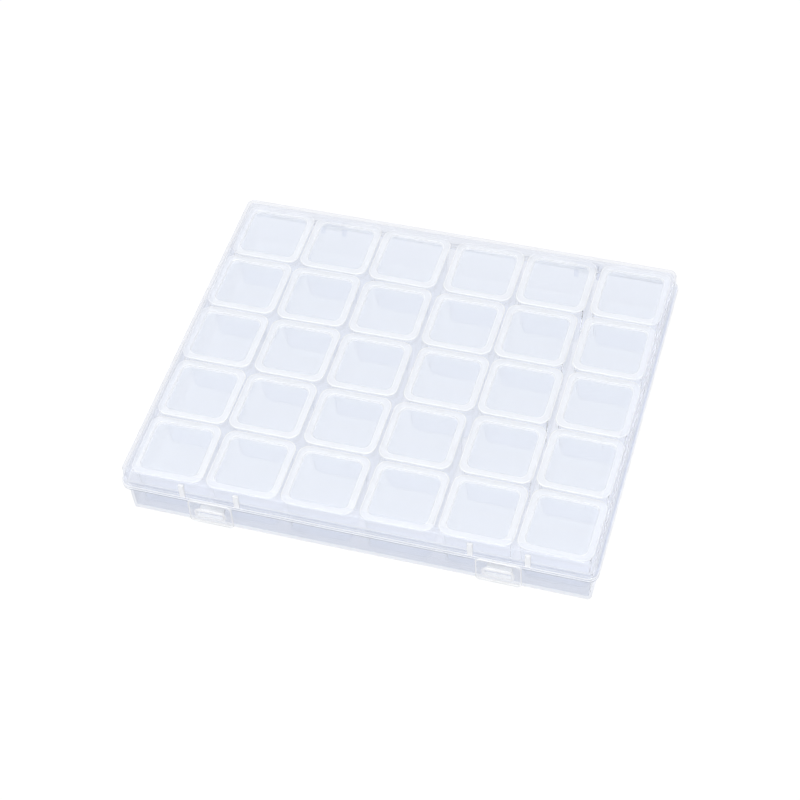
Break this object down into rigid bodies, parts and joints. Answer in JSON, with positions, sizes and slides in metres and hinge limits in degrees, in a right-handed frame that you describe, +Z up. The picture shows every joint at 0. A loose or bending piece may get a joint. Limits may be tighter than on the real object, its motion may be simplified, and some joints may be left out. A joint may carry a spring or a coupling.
{
  "type": "compartment storage box",
  "caption": "Clear flat case with a hinged latching cover over a grid of small square cups, each with its own hinged lid.",
  "frame": {"origin": "middle of the flat face that the case stands on", "axes": "+X along the long side to the right, +Y from the latches to the back hinge, +Z up"},
  "size_m": [0.21, 0.179, 0.0275],
  "materials": {
    "clear_case": "gloss",
    "clear_latch": "gloss",
    "clear_cup": "gloss",
    "clear_lid": "gloss"
  },
  "bodies": {
    "case": {"tray": "clear_case", "cups_row1": "clear_cup", "cups_row2": "clear_cup", "cups_row3": "clear_cup", "cups_row4": "clear_cup", "cups_row5": "clear_cup"},
    "cover": {"cover": "clear_case"},
    "latch_left": {"latch_left": "clear_latch"},
    "latch_right": {"latch_right": "clear_latch"},
    "lid_row1_col1": {"lid_row1_col1": "clear_lid"},
    "lid_row1_col2": {"lid_row1_col2": "clear_lid"},
    "lid_row1_col3": {"lid_row1_col3": "clear_lid"},
    "lid_row1_col4": {"lid_row1_col4": "clear_lid"},
    "lid_row1_col5": {"lid_row1_col5": "clear_lid"},
    "lid_row1_col6": {"lid_row1_col6": "clear_lid"},
    "lid_row2_col1": {"lid_row2_col1": "clear_lid"},
    "lid_row2_col2": {"lid_row2_col2": "clear_lid"},
    "lid_row2_col3": {"lid_row2_col3": "clear_lid"},
    "lid_row2_col4": {"lid_row2_col4": "clear_lid"},
    "lid_row2_col5": {"lid_row2_col5": "clear_lid"},
    "lid_row2_col6": {"lid_row2_col6": "clear_lid"},
    "lid_row3_col1": {"lid_row3_col1": "clear_lid"},
    "lid_row3_col2": {"lid_row3_col2": "clear_lid"},
    "lid_row3_col3": {"lid_row3_col3": "clear_lid"},
    "lid_row3_col4": {"lid_row3_col4": "clear_lid"},
    "lid_row3_col5": {"lid_row3_col5": "clear_lid"},
    "lid_row3_col6": {"lid_row3_col6": "clear_lid"},
    "lid_row4_col1": {"lid_row4_col1": "clear_lid"},
    "lid_row4_col2": {"lid_row4_col2": "clear_lid"},
    "lid_row4_col3": {"lid_row4_col3": "clear_lid"},
    "lid_row4_col4": {"lid_row4_col4": "clear_lid"},
    "lid_row4_col5": {"lid_row4_col5": "clear_lid"},
    "lid_row4_col6": {"lid_row4_col6": "clear_lid"},
    "lid_row5_col1": {"lid_row5_col1": "clear_lid"},
    "lid_row5_col2": {"lid_row5_col2": "clear_lid"},
    "lid_row5_col3": {"lid_row5_col3": "clear_lid"},
    "lid_row5_col4": {"lid_row5_col4": "clear_lid"},
    "lid_row5_col5": {"lid_row5_col5": "clear_lid"},
    "lid_row5_col6": {"lid_row5_col6": "clear_lid"}
  },
  "joints": [
    {"name": "cover_hinge", "type": "hinge", "parent": "case", "child": "cover", "pos_m": [0, 0.0881, 0.0176], "axis": [-1, 0, 0], "range_deg": [0, 180]},
    {"name": "latch_left_flap", "type": "hinge", "parent": "cover", "child": "latch_left", "pos_m": [-0.0635, -0.0869, 0.019], "axis": [-1, 0, 0], "range_deg": [0, 150]},
    {"name": "latch_right_flap", "type": "hinge", "parent": "cover", "child": "latch_right", "pos_m": [0.0635, -0.0869, 0.019], "axis": [-1, 0, 0], "range_deg": [0, 150]},
    {"name": "lid_row1_col1_hinge", "type": "hinge", "parent": "case", "child": "lid_row1_col1", "pos_m": [-0.0854, 0.0829, 0.0234], "axis": [-1, 0, 0], "range_deg": [0, 100]},
    {"name": "lid_row1_col2_hinge", "type": "hinge", "parent": "case", "child": "lid_row1_col2", "pos_m": [-0.052, 0.0827, 0.0234], "axis": [-1, 0, 0], "range_deg": [0, 100]},
    {"name": "lid_row1_col3_hinge", "type": "hinge", "parent": "case", "child": "lid_row1_col3", "pos_m": [-0.01814, 0.0822, 0.0234], "axis": [-0.9999, 0.0105, 0], "range_deg": [0, 100]},
    {"name": "lid_row1_col4_hinge", "type": "hinge", "parent": "case", "child": "lid_row1_col4", "pos_m": [0.0173, 0.0821, 0.0234], "axis": [-1, 0, 0], "range_deg": [0, 100]},
    {"name": "lid_row1_col5_hinge", "type": "hinge", "parent": "case", "child": "lid_row1_col5", "pos_m": [0.0513, 0.0829, 0.0234], "axis": [-1, 0, 0], "range_deg": [0, 100]},
    {"name": "lid_row1_col6_hinge", "type": "hinge", "parent": "case", "child": "lid_row1_col6", "pos_m": [0.0858, 0.0833, 0.0234], "axis": [-1, 0, 0], "range_deg": [0, 100]},
    {"name": "lid_row2_col1_hinge", "type": "hinge", "parent": "case", "child": "lid_row2_col1", "pos_m": [-0.0859, 0.0493, 0.0234], "axis": [-1, 0, 0], "range_deg": [0, 100]},
    {"name": "lid_row2_col2_hinge", "type": "hinge", "parent": "case", "child": "lid_row2_col2", "pos_m": [-0.05257, 0.0491, 0.0234], "axis": [-0.9998, -0.0175, 0], "range_deg": [0, 100]},
    {"name": "lid_row2_col3_hinge", "type": "hinge", "parent": "case", "child": "lid_row2_col3", "pos_m": [-0.01814, 0.0486, 0.0234], "axis": [-0.9999, -0.0157, 0], "range_deg": [0, 100]},
    {"name": "lid_row2_col4_hinge", "type": "hinge", "parent": "case", "child": "lid_row2_col4", "pos_m": [0.0165, 0.0485, 0.0234], "axis": [-1, 0, 0], "range_deg": [0, 100]},
    {"name": "lid_row2_col5_hinge", "type": "hinge", "parent": "case", "child": "lid_row2_col5", "pos_m": [0.0499, 0.0493, 0.0234], "axis": [-1, 0, 0], "range_deg": [0, 100]},
    {"name": "lid_row2_col6_hinge", "type": "hinge", "parent": "case", "child": "lid_row2_col6", "pos_m": [0.0853, 0.0497, 0.0234], "axis": [-1, 0, 0], "range_deg": [0, 100]},
    {"name": "lid_row3_col1_hinge", "type": "hinge", "parent": "case", "child": "lid_row3_col1", "pos_m": [-0.0859, 0.0157, 0.0234], "axis": [-1, 0, 0], "range_deg": [0, 100]},
    {"name": "lid_row3_col2_hinge", "type": "hinge", "parent": "case", "child": "lid_row3_col2", "pos_m": [-0.0516, 0.0155, 0.0234], "axis": [-1, 0, 0], "range_deg": [0, 100]},
    {"name": "lid_row3_col3_hinge", "type": "hinge", "parent": "case", "child": "lid_row3_col3", "pos_m": [-0.01789, 0.015, 0.0234], "axis": [-0.9999, -0.0122, 0], "range_deg": [0, 100]},
    {"name": "lid_row3_col4_hinge", "type": "hinge", "parent": "case", "child": "lid_row3_col4", "pos_m": [0.0178, 0.0149, 0.0234], "axis": [-1, 0, 0], "range_deg": [0, 100]},
    {"name": "lid_row3_col5_hinge", "type": "hinge", "parent": "case", "child": "lid_row3_col5", "pos_m": [0.0512, 0.0157, 0.0234], "axis": [-1, 0, 0], "range_deg": [0, 100]},
    {"name": "lid_row3_col6_hinge", "type": "hinge", "parent": "case", "child": "lid_row3_col6", "pos_m": [0.0858, 0.0161, 0.0234], "axis": [-1, 0, 0], "range_deg": [0, 100]},
    {"name": "lid_row4_col1_hinge", "type": "hinge", "parent": "case", "child": "lid_row4_col1", "pos_m": [-0.0852, -0.0179, 0.0234], "axis": [-1, 0, 0], "range_deg": [0, 100]},
    {"name": "lid_row4_col2_hinge", "type": "hinge", "parent": "case", "child": "lid_row4_col2", "pos_m": [-0.0519, -0.0181, 0.0234], "axis": [-1, 0, 0], "range_deg": [0, 100]},
    {"name": "lid_row4_col3_hinge", "type": "hinge", "parent": "case", "child": "lid_row4_col3", "pos_m": [-0.0174, -0.0186, 0.0234], "axis": [-1, 0, 0], "range_deg": [0, 100]},
    {"name": "lid_row4_col4_hinge", "type": "hinge", "parent": "case", "child": "lid_row4_col4", "pos_m": [0.0164, -0.0187, 0.0234], "axis": [-1, 0, 0], "range_deg": [0, 100]},
    {"name": "lid_row4_col5_hinge", "type": "hinge", "parent": "case", "child": "lid_row4_col5", "pos_m": [0.0519, -0.0179, 0.0234], "axis": [-1, 0, 0], "range_deg": [0, 100]},
    {"name": "lid_row4_col6_hinge", "type": "hinge", "parent": "case", "child": "lid_row4_col6", "pos_m": [0.08589, -0.0175, 0.0234], "axis": [-0.9999, 0.0122, 0], "range_deg": [0, 100]},
    {"name": "lid_row5_col1_hinge", "type": "hinge", "parent": "case", "child": "lid_row5_col1", "pos_m": [-0.08497, -0.0515, 0.0234], "axis": [-0.9998, -0.0175, 0], "range_deg": [0, 100]},
    {"name": "lid_row5_col2_hinge", "type": "hinge", "parent": "case", "child": "lid_row5_col2", "pos_m": [-0.0506, -0.0517, 0.0234], "axis": [-1, 0, 0], "range_deg": [0, 100]},
    {"name": "lid_row5_col3_hinge", "type": "hinge", "parent": "case", "child": "lid_row5_col3", "pos_m": [-0.0169, -0.0522, 0.0234], "axis": [-1, 0, 0], "range_deg": [0, 100]},
    {"name": "lid_row5_col4_hinge", "type": "hinge", "parent": "case", "child": "lid_row5_col4", "pos_m": [0.018, -0.0523, 0.0234], "axis": [-1, 0, 0], "range_deg": [0, 100]},
    {"name": "lid_row5_col5_hinge", "type": "hinge", "parent": "case", "child": "lid_row5_col5", "pos_m": [0.052, -0.0515, 0.0234], "axis": [-1, 0, 0], "range_deg": [0, 100]},
    {"name": "lid_row5_col6_hinge", "type": "hinge", "parent": "case", "child": "lid_row5_col6", "pos_m": [0.08604, -0.0511, 0.0234], "axis": [-0.9999, 0.0157, 0], "range_deg": [0, 100]}
  ],
  "couplings": [
    {"joint": "lid_row1_col1_hinge", "follows": "cover_hinge", "ratio": 0.5555},
    {"joint": "lid_row1_col2_hinge", "follows": "cover_hinge", "ratio": 0.5555},
    {"joint": "lid_row1_col3_hinge", "follows": "cover_hinge", "ratio": 0.5555},
    {"joint": "lid_row1_col4_hinge", "follows": "cover_hinge", "ratio": 0.5555},
    {"joint": "lid_row1_col5_hinge", "follows": "cover_hinge", "ratio": 0.5555},
    {"joint": "lid_row1_col6_hinge", "follows": "cover_hinge", "ratio": 0.5555},
    {"joint": "lid_row2_col1_hinge", "follows": "cover_hinge", "ratio": 0.5555},
    {"joint": "lid_row2_col2_hinge", "follows": "cover_hinge", "ratio": 0.5555},
    {"joint": "lid_row2_col3_hinge", "follows": "cover_hinge", "ratio": 0.5555},
    {"joint": "lid_row2_col4_hinge", "follows": "cover_hinge", "ratio": 0.5555},
    {"joint": "lid_row2_col5_hinge", "follows": "cover_hinge", "ratio": 0.5555},
    {"joint": "lid_row2_col6_hinge", "follows": "cover_hinge", "ratio": 0.5555},
    {"joint": "lid_row3_col1_hinge", "follows": "cover_hinge", "ratio": 0.5555},
    {"joint": "lid_row3_col2_hinge", "follows": "cover_hinge", "ratio": 0.5555},
    {"joint": "lid_row3_col3_hinge", "follows": "cover_hinge", "ratio": 0.5555},
    {"joint": "lid_row3_col4_hinge", "follows": "cover_hinge", "ratio": 0.5555},
    {"joint": "lid_row3_col5_hinge", "follows": "cover_hinge", "ratio": 0.5555},
    {"joint": "lid_row3_col6_hinge", "follows": "cover_hinge", "ratio": 0.5555},
    {"joint": "lid_row4_col1_hinge", "follows": "cover_hinge", "ratio": 0.5555},
    {"joint": "lid_row4_col2_hinge", "follows": "cover_hinge", "ratio": 0.5555},
    {"joint": "lid_row4_col3_hinge", "follows": "cover_hinge", "ratio": 0.5555},
    {"joint": "lid_row4_col4_hinge", "follows": "cover_hinge", "ratio": 0.5555},
    {"joint": "lid_row4_col5_hinge", "follows": "cover_hinge", "ratio": 0.5555},
    {"joint": "lid_row4_col6_hinge", "follows": "cover_hinge", "ratio": 0.5555},
    {"joint": "lid_row5_col1_hinge", "follows": "cover_hinge", "ratio": 0.5555},
    {"joint": "lid_row5_col2_hinge", "follows": "cover_hinge", "ratio": 0.5555},
    {"joint": "lid_row5_col3_hinge", "follows": "cover_hinge", "ratio": 0.5555},
    {"joint": "lid_row5_col4_hinge", "follows": "cover_hinge", "ratio": 0.5555},
    {"joint": "lid_row5_col5_hinge", "follows": "cover_hinge", "ratio": 0.5555},
    {"joint": "lid_row5_col6_hinge", "follows": "cover_hinge", "ratio": 0.5555}
  ]
}
